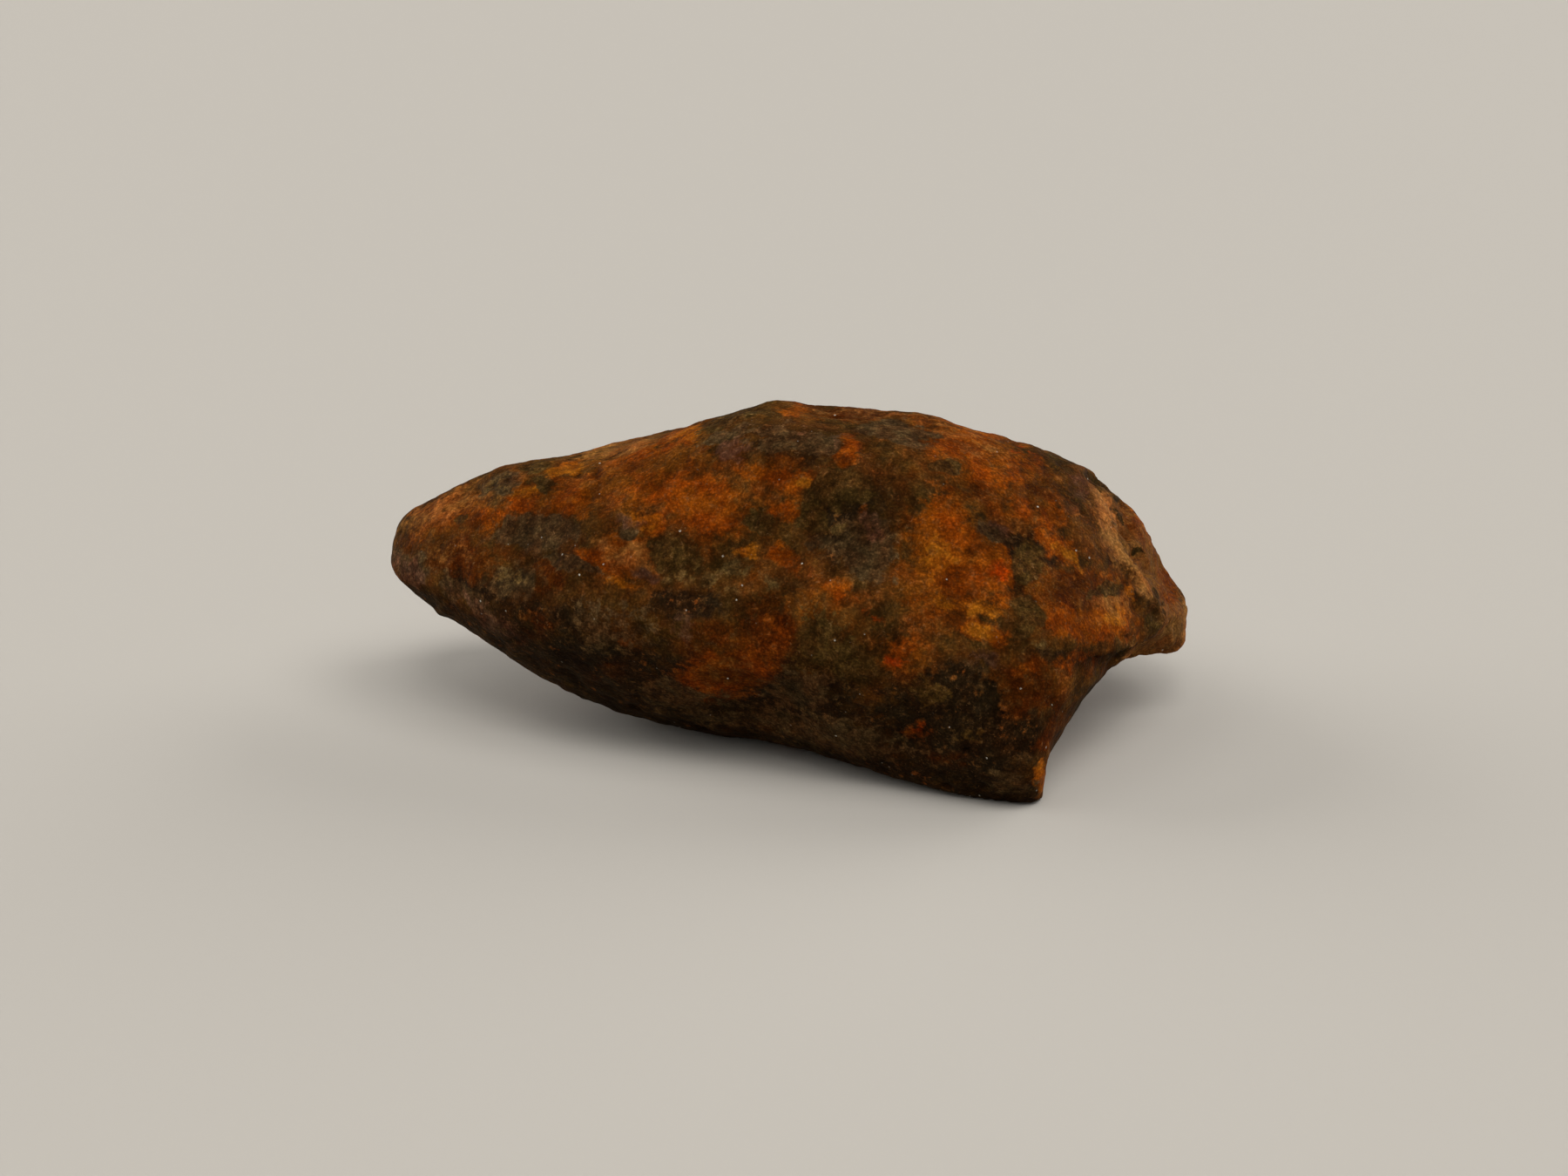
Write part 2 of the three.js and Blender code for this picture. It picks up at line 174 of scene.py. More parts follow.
# Each patch is an oval as the camera sees it: the pixel of its middle in the 1800 x 1350 frame, its
# half width and half height in millimetres, how far it leans in degrees, and how strongly it shows.
PATCHES = {
    # Dark patches: partly dark rust, partly painted shade low on the belly.
    "dark_and_shade": {
        "left_low": ((650, 735), (13.0, 5.2), 27, 0.85),
        "nose_low": ((552, 672), (4.8, 2.4), 28, 0.9),
        "left_under": ((740, 800), (10.0, 3.0), 18, 0.9),
        "middle_low": ((905, 800), (9.0, 4.4), 8, 0.9),
        "middle": ((935, 745), (5.4, 3.4), 0, 0.8),
        "middle_left": ((785, 694), (4.8, 2.0), 0, 1.0),
        "right_low": ((1105, 840), (11.0, 7.6), 6, 1.0),
        "right_arm": ((1110, 782), (8.0, 3.0), 8, 1.0),
        "right_under": ((1212, 752), (5.0, 1.4), 0, 0.8),
        "crown": ((905, 515), (7.0, 3.0), 0, 0.7),
        "centre": ((975, 595), (6.5, 6.5), 0, 0.8),
        "arch": ((1178, 640), (4.4, 6.5), -8, 0.9),
        "left": ((630, 615), (7.6, 3.6), 8, 0.5),
        "right_top": ((1228, 575), (3.4, 3.4), 30, 0.6),
    },
    "amber": {
        "nose": ((520, 592), (5.5, 2.2), -33, 0.9),
        "nose_saddle": ((640, 572), (6.2, 2.3), 3, 1.0),
        "saddle": ((745, 545), (9.0, 4.3), -12, 1.0),
        "flank": ((808, 583), (5.6, 3.8), 0, 1.0),
        "brow": ((885, 550), (4.2, 3.4), 0, 0.8),
        "crest_edge": ((965, 475), (6.5, 1.0), 3, 0.9),
        "top": ((1120, 516), (8.0, 2.8), 17, 1.0),
        "upper_right": ((1165, 573), (8.0, 4.0), 15, 0.8),
        "big": ((1092, 650), (6.2, 8.0), 0, 1.0),
        "right": ((1235, 690), (7.5, 4.6), 0, 0.9),
        "middle": ((945, 688), (5.6, 2.0), -8, 0.65),
        "belly": ((842, 764), (6.6, 4.4), -15, 1.0),
        "low": ((1045, 755), (4.0, 2.8), 0, 0.6),
        "heel": ((1180, 785), (5.0, 3.2), 20, 0.7),
        "cheek": ((712, 645), (4.6, 3.2), 0, 1.0),
        "end": ((1306, 622), (4.8, 1.7), 58, 0.9),
    },
    "rust": {
        "nose_side": ((528, 642), (4.7, 2.5), 0, 0.95),
        "nose_strip": ((563, 602), (2.9, 1.4), -10, 0.8),
        "left_fleck": ((627, 660), (1.9, 1.5), 20, 1.0),
        "lower_left": ((610, 720), (2.6, 2.9), 30, 0.55),
        "low_red": ((700, 778), (3.0, 2.3), 10, 0.8),
        "purple_brow": ((832, 517), (3.3, 1.2), 0, 0.7),
        "red_brow": ((926, 548), (2.1, 1.0), 0, 0.9),
        "middle_left": ((806, 735), (4.0, 2.8), 0, 0.6),
        "middle_band": ((882, 716), (2.9, 4.2), 8, 0.95),
        "middle_right": ((990, 725), (3.4, 2.0), 0, 0.45),
        "upper_right": ((1150, 563), (6.6, 2.7), 8, 0.55),
        "crest_tan": ((972, 473), (5.0, 1.0), 4, 0.8),
        "shoulder": ((1234, 676), (3.1, 2.7), 0, 1.0),
        "heel": ((1180, 790), (4.4, 3.2), 20, 0.85),
        "toe_side": ((1212, 834), (1.5, 3.6), 32, 0.8),
        "toe_red": ((1087, 877), (3.4, 1.3), 5, 0.7),
        "right_middle": ((1290, 640), (2.0, 5.0), -25, 0.6),
    },
    "orange": {
        "nose_right": ((571, 596), (2.3, 1.6), 0, 0.8),
        "seam_right": ((754, 603), (2.0, 1.3), 0, 0.9),
        "brow": ((911, 556), (2.2, 1.6), 0, 0.9),
        "under_top": ((1138, 546), (3.6, 1.6), 12, 0.8),
        "upper_right": ((1165, 578), (3.0, 1.5), 10, 0.5),
        "big_low": ((1098, 663), (2.6, 1.7), 0, 0.85),
        "under_right": ((1226, 752), (3.0, 1.3), -10, 0.6),
        "nose_tan": ((505, 588), (4.0, 1.3), -33, 0.6),
        "nose_top": ((597, 572), (2.0, 1.5), -10, 0.9),
        "nose_saddle": ((653, 579), (3.4, 1.3), 5, 0.85),
        "saddle_band": ((745, 513), (5.6, 1.4), -20, 0.75),
        "saddle": ((752, 560), (4.6, 2.2), -5, 0.6),
        "flank_wide": ((805, 575), (4.6, 3.2), 10, 0.8),
        "flank": ((815, 588), (2.9, 2.7), 0, 1.0),
        "brow_knot": ((875, 541), (2.7, 1.2), 15, 0.85),
        "crest_spot": ((911, 474), (1.4, 0.9), 0, 0.9),
        "ear": ((974, 518), (1.5, 1.8), 0, 1.0),
        "middle_knot": ((893, 587), (2.1, 1.3), 0, 0.9),
        "cheek": ((718, 640), (4.0, 2.9), 0, 1.0),
        "cheek_left": ((680, 641), (2.0, 1.2), 10, 0.8),
        "centre_knot": ((902, 640), (2.3, 1.6), 35, 0.85),
        "belly_streak": ((965, 675), (2.6, 1.2), -15, 0.75),
        "belly": ((838, 775), (5.6, 3.1), -14, 1.0),
        "belly_band": ((886, 718), (2.0, 3.2), 10, 0.4),
        "lone_fleck": ((717, 733), (1.1, 0.6), 0, 0.7),
        "crust_fleck": ((996, 590), (1.0, 1.1), 0, 0.7),
        "big": ((1085, 620), (3.4, 5.6), -4, 0.95),
        "big_right": ((1143, 650), (2.3, 2.7), -20, 1.0),
        "big_foot": ((1100, 690), (6.0, 2.2), 4, 0.55),
        "top": ((1108, 508), (4.4, 1.9), 17, 1.0),
        "top_right": ((1158, 536), (3.7, 1.7), 15, 0.6),
        "upper_streak": ((1212, 592), (2.0, 1.4), 20, 0.9),
        "streak": ((1213, 626), (3.6, 1.3), 48, 1.0),
        "right": ((1249, 713), (5.6, 1.9), 3, 1.0),
        "low_right": ((1126, 728), (2.7, 1.6), 0, 0.95),
        "low": ((1037, 752), (3.2, 1.9), -28, 0.5),
        "low_spot": ((1055, 834), (2.3, 1.4), 8, 0.55),
        "heel_spot": ((1172, 770), (2.4, 0.9), 10, 0.45),
        "end_upper": ((1306, 602), (3.6, 1.3), 56, 1.0),
        "end_fleck": ((1306, 638), (2.6, 1.1), 60, 0.9),
        "end_lower": ((1334, 666), (3.2, 1.2), 66, 1.0),
    },
    "ochre": {
        "nose_ochre": ((645, 541), (2.0, 0.9), 0, 0.9),
        "nose_edge": ((600, 566), (1.4, 0.9), 0, 0.7),
        "seam": ((735, 597), (2.8, 1.0), 12, 1.0),
        "saddle_edge": ((785, 497), (2.4, 0.9), -20, 0.7),
        "cheek_foot": ((710, 675), (2.0, 0.8), 12, 0.8),
        "brow_core": ((922, 562), (1.0, 1.0), 0, 1.0),
        "spot": ((856, 631), (1.3, 0.8), 0, 1.0),
        "big_core": ((1078, 640), (2.6, 2.4), 0, 0.65),
        "big_foot": ((1108, 694), (4.4, 1.5), 4, 0.65),
        "streak_core": ((1223, 634), (2.5, 0.7), 48, 1.0),
        "right_core": ((1281, 704), (1.3, 1.0), 20, 1.0),
        "right_fleck": ((1296, 678), (0.8, 0.8), 0, 0.9),
        "low_core": ((1125, 728), (2.1, 1.2), 0, 1.0),
        "toe_facet": ((1195, 889), (0.7, 2.0), 8, 1.0),
        "cheek_core": ((724, 634), (2.2, 1.3), 10, 0.7),
    },
    # Tan patches: partly tan rust, partly painted highlight on the crests, nose slope and end face.
    "tan": {
        "nose_slope": ((508, 585), (4.6, 1.7), -35, 0.6),
        "nose_top": ((566, 562), (3.6, 1.3), -18, 0.6),
        "nose_side": ((520, 636), (3.0, 1.6), 0, 0.4),
        "saddle_crest": ((712, 508), (5.6, 1.3), -17, 0.8),
        "cheek": ((724, 642), (3.4, 2.4), 0, 0.75),
        "cheek_left": ((690, 628), (2.6, 1.2), 20, 0.5),
        "top_crest": ((1106, 505), (5.4, 1.3), 17, 0.5),
        "right_flank": ((1160, 600), (3.6, 1.5), 25, 0.4),
        "right": ((1270, 690), (2.4, 1.3), 10, 0.5),
        "middle": ((985, 660), (3.0, 1.2), -10, 0.4),
        "end_band": ((1308, 638), (6.4, 1.7), 60, 0.85),
        "end_edge": ((1317, 622), (6.2, 1.2), 58, 0.75),
        "belly": ((838, 771), (4.4, 2.2), -14, 0.4),
    },
    "red": {
        "hot_spot": ((1148, 652), (0.9, 1.3), -25, 0.8),
        "big_edge": ((1066, 580), (1.1, 1.0), 0, 0.45),
        "streak": ((1005, 700), (1.7, 0.7), 25, 0.6),
        "low_core": ((1028, 758), (1.5, 0.9), 0, 0.6),
        "low_spot": ((1060, 832), (1.2, 0.9), 0, 0.5),
        "top_edge": ((1180, 521), (2.0, 0.8), 18, 0.45),
    },
    "olive": {
        "crest_left": ((846, 479), (4.6, 1.2), -20, 1.0),
        "nose_rim": ((616, 533), (1.9, 0.8), -5, 1.0),
        "nose_drop": ((619, 556), (1.4, 1.0), 0, 0.85),
        "nose_fleck": ((527, 603), (0.9, 0.7), -20, 0.9),
        "small_top": ((1086, 532), (2.2, 0.9), 8, 0.95),
        "knee": ((866, 598), (2.6, 1.4), 28, 0.8),
        "centre": ((775, 640), (3.0, 2.6), 0, 1.0),
        "crust_upper": ((972, 560), (3.7, 2.5), 0, 1.0),
        "crust_left": ((935, 594), (2.4, 2.4), 0, 1.0),
        "middle": ((945, 745), (4.6, 4.6), 0, 0.8),
        "right_main": ((1183, 646), (2.2, 3.1), -8, 0.85),
        "right_low": ((1174, 706), (2.5, 2.2), 0, 0.95),
        "right_far": ((1271, 675), (1.6, 1.0), 0, 0.9),
        "right_end": ((1326, 706), (1.5, 2.0), 20, 0.8),
        "notch_rim": ((1285, 746), (1.4, 1.0), -35, 0.9),
        "low_middle": ((1070, 790), (2.6, 1.6), 12, 0.7),
        "low_right": ((1118, 842), (2.4, 1.2), 12, 0.5),
        "end_hollow": ((1258, 550), (2.3, 0.8), 40, 1.0),
        "end_pit_high": ((1284, 592), (1.2, 0.4), 58, 0.8),
        "end_pit_middle": ((1306, 634), (1.3, 0.4), 62, 0.8),
        "end_pit_low": ((1328, 684), (1.1, 0.4), 66, 0.8),
        "end_rim": ((1217, 527), (1.6, 0.5), 22, 0.9),
    },
    "slate": {
        "nose_tip": ((469, 650), (2.4, 1.6), 30, 1.0),
        "nose_streaks": ((568, 557), (2.9, 1.3), -14, 0.9),
        "left_main": ((615, 612), (4.8, 2.5), 0, 1.0),
        "left_arm": ((680, 605), (4.4, 1.0), 8, 0.2),
        "left_hand": ((718, 609), (1.3, 0.7), 10, 1.0),
        "left_seam": ((655, 652), (4.0, 0.9), 20, 1.0),
        "under_nose": ((588, 668), (2.7, 1.9), 0, 0.9),
        "nose_keel": ((535, 684), (4.2, 1.4), 33, 0.8),
        "belly_left": ((702, 720), (5.6, 3.2), 5, 0.62),
        "crown": ((918, 507), (4.6, 1.4), 3, 1.0),
        "brow": ((834, 501), (3.6, 0.8), -10, 0.8),
        "top_band": ((1030, 498), (4.9, 1.2), 8, 1.0),
        "crust_main": ((1003, 628), (3.6, 3.9), 0, 1.0),
        "crust_foot": ((946, 628), (1.9, 1.2), 0, 0.9),
        "right_arm": ((1146, 610), (2.8, 1.2), 25, 0.85),
        "belly_low": ((920, 790), (4.4, 2.2), 0, 0.8),
        "keel": ((930, 836), (14.0, 2.3), 11, 0.75),
        "toe": ((1160, 898), (3.4, 1.4), 5, 0.8),
        "low_left": ((780, 805), (6.0, 1.9), 15, 0.75),
    },
    "lichen": {
        "band_left": ((800, 664), (2.6, 1.5), -8, 0.75),
        "band": ((843, 652), (2.4, 1.2), -15, 0.8),
        "band_right": ((884, 664), (2.3, 1.2), 12, 0.7),
        "band_foot": ((838, 676), (1.7, 0.8), 10, 0.6),
        "left_cluster": ((760, 668), (1.3, 0.8), 0, 0.9),
        "nose_grey": ((566, 556), (2.4, 1.0), -14, 0.6),
        "crest": ((850, 477), (3.6, 0.7), -20, 0.6),
        "under_nose": ((585, 660), (1.6, 1.4), 0, 0.6),
        "fleck": ((965, 612), (0.7, 0.6), 0, 0.9),
        "right": ((1185, 740), (2.6, 1.0), 0, 0.5),
    },
    "violet": {
        "brow": ((834, 516), (3.0, 1.2), -5, 0.9),
        "crown": ((962, 500), (4.4, 1.2), 5, 0.35),
        "seam": ((722, 598), (2.2, 0.9), 10, 0.9),
        "hand": ((738, 660), (1.7, 1.3), 0, 0.9),
        "tip": ((470, 655), (2.4, 1.4), 35, 0.9),
        "crust": ((1003, 600), (1.9, 2.4), 0, 0.7),
        "right": ((1152, 604), (1.7, 1.0), 20, 0.8),
        "shoulder": ((1238, 566), (2.0, 2.6), 30, 0.6),
        "keel": ((560, 706), (5.0, 1.5), 33, 0.7),
        "belly": ((780, 716), (1.8, 2.0), 0, 0.6),
        "low": ((1130, 760), (2.6, 1.3), 0, 0.6),
    },
    # Pink patches: partly pink rust, partly painted sheen and highlight on the lit end face and the
    # rims.
    "pink_and_sheen": {
        "end_top": ((1268, 576), (3.0, 1.4), 55, 0.9),
        "end_band": ((1294, 622), (4.2, 2.2), 62, 1.0),
        "end_middle": ((1320, 660), (3.8, 2.2), 58, 1.0),
        "end_foot": ((1344, 706), (2.0, 2.6), -20, 1.0),
        "spur": ((1330, 742), (4.4, 1.5), -12, 1.0),
        "spur_side": ((1352, 712), (1.2, 3.0), -12, 1.0),
        "nose_rim": ((470, 602), (2.4, 0.8), -48, 0.35),
        "crest_edge": ((980, 474), (5.4, 0.7), 4, 0.4),
    },
}

# On the sides out of sight patches are spread by noise: its size in millimetres, its layers, and the
# value at which a kind of patch starts. A higher value makes it rarer.
HIDDEN_SIZE = 9.5
HIDDEN_LAYERS = (4, 0.6)
HIDDEN_SEED = 60
HIDDEN_SEED_STEP = 7
HIDDEN_FADE = 0.42
HIDDEN_STRENGTH = 0.9
COMMON_PATCHES = 0.04
RARE_PATCHES = {
    "pink_and_sheen": 0.3,
    "lichen": 0.18,
    "violet": 0.14,
    "red": 0.16,
    "ochre": 0.1,
    "tan": 0.1,
}

# Downward skin gets painted shade: how its normal leans where that starts, and where it is full.
UNDERSIDE = (0.2, -0.7)

# Height above the plain form, in millimetres, that counts as sunk and as raised.
# Sunk skin gets painted shade and raised skin a painted highlight.
RISE_RANGE = (-0.25, 0.25)

# Colours of the skin between the patches and of each kind of patch, linear: red, green, blue.
SKIN_DARK = (0.039, 0.0170, 0.0033)
SKIN_MIDDLE = (0.077, 0.0276, 0.0044)
SKIN_WARM = (0.122, 0.0345, 0.0030)
PATCH_COLOURS = {
    # Partly painted shade.
    "dark_and_shade": (0.0152, 0.0081, 0.0031),
    "amber": (0.112, 0.0305, 0.0028),
    "rust": (0.059, 0.0142, 0.0015),
    # The underside shade is painted shade: a dark colour on downward skin.
    "underside_shade": (0.0185, 0.0104, 0.0044),
    # Partly painted sheen and highlight.
    "pink_and_sheen": (0.212, 0.0860, 0.0200),
    "orange": (0.163, 0.0345, 0.0017),
    "ochre": (0.208, 0.0600, 0.0032),
    # Partly painted highlight.
    "tan": (0.196, 0.0740, 0.0145),
    "red": (0.232, 0.0290, 0.0009),
    "olive": (0.0415, 0.0202, 0.0043),
    "slate": (0.0480, 0.0255, 0.0088),
    "lichen": (0.073, 0.0390, 0.0105),
    "violet": (0.066, 0.0280, 0.0130),
}
CRUSTS = ("olive", "slate", "lichen")

# How sharply each kind of patch ends: the mask at which it starts to show, and shows in full.
PATCH_EDGES = {
    "dark_and_shade": (0.2, 0.85),
    "rust": (0.15, 0.85),
    "amber": (0.15, 0.9),
    "orange": (0.2, 0.85),
    "ochre": (0.25, 0.85),
    "tan": (0.15, 0.95),
    "red": (0.25, 0.85),
    "olive": (0.34, 0.66),
    "slate": (0.34, 0.66),
    "lichen": (0.35, 0.85),
    "violet": (0.3, 0.95),
    "pink_and_sheen": (0.12, 0.85),
    "underside_shade": (0.3, 1.0),
}

# ---------------------------------------------------------------- rust

# Noises in the rust: size of the lumps in millimetres, detail, roughness and distortion.
RUST_NOISES = {
    "ragged": (2.0, 4.0, 0.65, 0.0),
    "granular": (0.8, 3.0, 0.6, 0.0),
    "fine": (0.3, 2.0, 0.5, 0.0),
    "tone": (4.0, 5.0, 0.65, 0.0),
    "dusting": (1.1, 4.0, 0.7, 0.0),
    "drift": (3.4, 3.0, 0.6, 0.0),
    "mottle": (1.7, 4.0, 0.6, 0.0),
    "flecks": (0.5, 3.0, 0.65, 1.2),
    "crumbs": (1.0, 4.0, 0.75, 0.0),
    "clusters": (3.0, 3.0, 0.5, 0.0),
    "broken": (0.12, 2.0, 0.5, 0.0),
}

# A patch's ragged edge: share of the ragged noise beside the granular one, and the middle of their sum.
EDGE_RAGGED = 1.7
EDGE_MIDDLE = 1.35

# How noises and masks turn into shares and shades: from a low and a high value to the result at each.
MIDDLE_SHARE = (0.38, 0.55, 0.0, 1.0)
WARM_SHARE = (0.52, 0.72, 0.0, 1.0)
DUSTING_SHARE = (0.5, 0.7, 0.0, 0.4)
DRIFT_SHARE = (0.36, 0.64, 0.0, 1.0)
FLECK_SHARE = (0.6, 0.74, 0.0, 0.45)
MOTTLE_SHADE = (0.32, 0.68, 0.78, 1.22)
GRANULAR_SHADE = (0.3, 0.7, 0.78, 1.26)
FINE_SHADE = (0.4, 0.78, 0.8, 1.75)
CRUMB_SHADE = (0.35, 0.68, 0.62, 1.55)
# Painted shade in hollows and painted highlight on raised skin.
PAINTED_RELIEF_SHADE = (0.1, 0.8, 0.6, 1.12)
# Painted shade: downward skin is darkened further.
PAINTED_UNDERSIDE_SHADE = (0.0, 0.9, 1.0, 0.8)

# Small pale mineral grains with a painted glint: distance between them in millimetres,
# how near a cell's middle they show, the clusters they lie in, and how broken up they are.
GRAIN_SPACING = 1.7
GRAIN_SHARE = (0.05, 0.1, 1.0, 0.0)
CLUSTER_SHARE = (0.52, 0.62, 0.0, 1.0)
BROKEN_SHARE = (0.42, 0.58, 0.2, 1.0)

# Colours that lie over the patches, and the tints between which the rust drifts.
DUSTING_COLOUR = (0.1, 0.045, 0.012)
FLECK_COLOUR = (0.2, 0.1, 0.038)
# Partly the grains' own pale colour, partly a painted glint.
GRAIN_GLINT_COLOUR = (0.65, 0.6, 0.5)
DRIFT_RED = (1.08, 0.88, 0.85)
DRIFT_GREY = (0.96, 1.04, 1.12)

# The shader: roughness from the granular noise, faint warm highlights and a thin warm sheen.
RUST_ROUGHNESS = (0.3, 0.7, 0.55, 0.8)
RUST_SPECULAR = 0.01
SPECULAR_COLOUR = (1.0, 0.65, 0.32)
RUST_SHEEN = 0.02
SHEEN_ROUGHNESS = 0.4
SHEEN_COLOUR = (1.0, 0.62, 0.3)

# The finest relief is a bump: its strength, its height in millimetres, and its share of fine noise.
BUMP_STRENGTH = 0.9
BUMP_HEIGHT = 0.16
FINE_RELIEF = 0.4


# ---------------------------------------------------------------- noise

# Large odd numbers that turn a cell's place and seed into a value that looks random, in 32 bits.
HASH_X = 374761393
HASH_Y = 668265263
HASH_Z = 2246822519
HASH_SEED = 3266489917
HASH_MIX = 2654435761
HASH_BITS = 0xFFFFFFFF
HASH_MIDDLE = 0x7FFFFFFF

# Keeps the cells' numbers above zero.
NOISE_ORIGIN = 1000.0


def hashed(cell, seed):
    """A value from -1 to 1 for each whole-number cell."""
    x, y, z = (cell[..., k].astype(np.uint64) for k in range(3))
    mixed = x * HASH_X + y * HASH_Y + z * HASH_Z + np.uint64(seed * HASH_SEED)
    mixed = (mixed & HASH_BITS) ^ ((mixed & HASH_BITS) >> 15)
    mixed = (mixed * HASH_MIX) & HASH_BITS
    mixed = mixed ^ (mixed >> 13)
    mixed = (mixed * HASH_SEED) & HASH_BITS
    mixed = mixed ^ (mixed >> 16)
    return mixed.astype(float) / HASH_MIDDLE - 1.0


def noise(points, size, seed):
    """Smooth noise from -1 to 1, with lumps of that size."""
    place = points / size + NOISE_ORIGIN
    low = np.floor(place).astype(np.int64)
    t = place - low
    t = t * t * t * (t * (t * 6 - 15) + 10)
    total = np.zeros(len(points))
    for corner in np.ndindex(2, 2, 2):
        share = np.prod(np.where(corner, t, 1 - t), axis=1)
        total += share * hashed(low + corner, seed)
    return total


def layered(points, size, seed, layers, fade):
    """Noise with finer layers over it, each weaker than the last by the fade."""
    total = sum(fade**k * noise(points, size / 2**k, seed + k) for k in range(layers))
    return total / sum(fade**k for k in range(layers))


def smoothstep(low, high, value):
    """0 at the first value and 1 at the second, smooth between, whichever of them is the higher."""
    t = np.clip((value - low) / (high - low), 0.0, 1.0)
    return t * t * (3 - 2 * t)


# ---------------------------------------------------------------- camera


def camera_axes():
    """The camera's right, its up, and the direction back from what it looks at."""
    tilt = math.radians(CAMERA_ELEVATION)
    back = np.array([0.0, -math.cos(tilt), math.sin(tilt)])
    right = np.array([1.0, 0.0, 0.0])
    up = np.array([0.0, math.sin(tilt), math.cos(tilt)])
    return right, up, back


def camera_place():
    return np.array(CAMERA_AIM) + CAMERA_DISTANCE * camera_axes()[2]


def seen_at(points):
    """Where points, in millimetres, fall in the frame, in pixels."""
    right, up, back = camera_axes()
    offset = points - camera_place()
    depth = -(offset @ back)
    across = FRAME_WIDTH / 2 + FOCAL_PIXELS * (offset @ right) / depth
    down = FRAME_HEIGHT / 2 - FOCAL_PIXELS * (offset @ up) / depth
    return np.stack([across, down], axis=1)


def add_camera():
    data = bpy.data.cameras.new("camera")
    data.sensor_fit = "HORIZONTAL"
    data.angle = math.radians(CAMERA_WIDTH_ANGLE)
    data.clip_start = CAMERA_NEAREST * MM
    data.clip_end = CAMERA_FARTHEST * MM
    camera = bpy.data.objects.new("camera", data)
    camera.location = Vector(camera_place()) * MM
    camera.rotation_euler = (math.radians(90 - CAMERA_ELEVATION), 0.0, 0.0)
    bpy.context.scene.collection.objects.link(camera)
    bpy.context.scene.camera = camera


# ---------------------------------------------------------------- skin


def refined_mesh(node):
    """The solid's skin, rounded and cut into small even squares."""
    source = node.data.copy()
    welded = bmesh.new()
    welded.from_mesh(source)
    bmesh.ops.remove_doubles(welded, verts=welded.verts, dist=WELD_DISTANCE * MM)
    welded.to_mesh(source)
    welded.free()
    normals = source.attributes.get("custom_normal")
    if normals:
        source.attributes.remove(normals)
    draft = bpy.data.objects.new("draft", source)
    bpy.context.scene.collection.objects.link(draft)
    rounding = draft.modifiers.new("rounding", "SUBSURF")
    rounding.levels = ROUNDING_LEVELS
    squares = draft.modifiers.new("squares", "REMESH")
    squares.mode = "VOXEL"
    squares.voxel_size = SKIN_STEP * MM
    calm = draft.modifiers.new("calm", "SMOOTH")
    calm.iterations = SMOOTHING_ROUNDS
    evaluated = draft.evaluated_get(bpy.context.evaluated_depsgraph_get())
    mesh = bpy.data.meshes.new_from_object(evaluated)
    bpy.data.objects.remove(draft)
    return mesh


def vertex_places(mesh):
    values = np.zeros(len(mesh.vertices) * 3, np.float32)
    mesh.vertices.foreach_get("co", values)
    return values.reshape(-1, 3).astype(float) / MM


def vertex_normals(mesh):
    values = np.zeros(len(mesh.vertices) * 3, np.float32)
    mesh.vertex_normals.foreach_get("vector", values)
    return values.reshape(-1, 3).astype(float)


def bowl(away):
    """The shape of a pit or knob, full in the middle and gone one radius away."""
    return np.clip(1 - away * away, 0, 1) ** PIT_ROUNDNESS


def pitted(points, broken):
    """Depth of the scattered pits, denser on the broken end."""
    random = np.random.default_rng(PIT_SEED)
    plain, more = PIT_CHANCE
    chance = plain + more * broken
    centres = points[random.choice(len(points), PIT_COUNT, replace=False, p=chance / chance.sum())]
    depth = np.zeros(len(points))
    for centre in centres:
        radius = random.uniform(*PIT_RADIUS)
        deepest = random.uniform(*PIT_DEPTH)
        squash = np.array([1.0, 1.0, random.uniform(*PIT_SQUASH)])
        away = np.linalg.norm((points - centre) * squash, axis=1) / radius
        depth = np.maximum(depth, deepest * bowl(away))
    return depth


def beside_ridge(seen):
    """Distance from the ridge in millimetres, above zero on the side of the end face."""
    ridge = np.array(RIDGE, float)
    nearest = np.full(len(seen), np.inf)
    side = np.zeros(len(seen))
    for start, end in zip(ridge, ridge[1:]):
        step = end - start
        share = np.clip((seen - start) @ step / (step @ step), 0.0, 1.0)
        offset = seen - start - share[:, None] * step
        away = np.hypot(offset[:, 0], offset[:, 1])
        closer = away < nearest
        nearest = np.where(closer, away, nearest)
        side = np.where(closer, np.sign(step[1] * offset[:, 0] - step[0] * offset[:, 1]), side)
    return nearest * side * MM_PER_PIXEL


def ridge_rise(seen):
    """The lip along the ridge and the groove behind it."""
    away = beside_ridge(seen)
    lip = LIP_HEIGHT * np.exp(-((away / LIP_REACH) ** 2)) * (away < 0)
    starting, full, fading, gone = GROOVE_REACH
    groove = GROOVE_DEPTH * smoothstep(starting, full, away) * smoothstep(gone, fading, away)
    return lip - groove


def marked(seen):
    """The pits and knobs that the camera sees."""
    rise = np.zeros(len(seen))
    for middle, radius, height in MARKS.values():
        offset = (seen - middle) * MM_PER_PIXEL / radius
        away = np.hypot(offset[:, 0], offset[:, 1])
        rise += height * bowl(away)
    return rise


def facing_camera(points, normals):
    """1 where the skin faces the camera, 0 on the sides out of its sight."""
    to_camera = camera_place() - points
    to_camera /= np.linalg.norm(to_camera, axis=1)[:, None]
    return smoothstep(*FACING_EDGE, np.einsum("ij,ij->i", normals, to_camera))


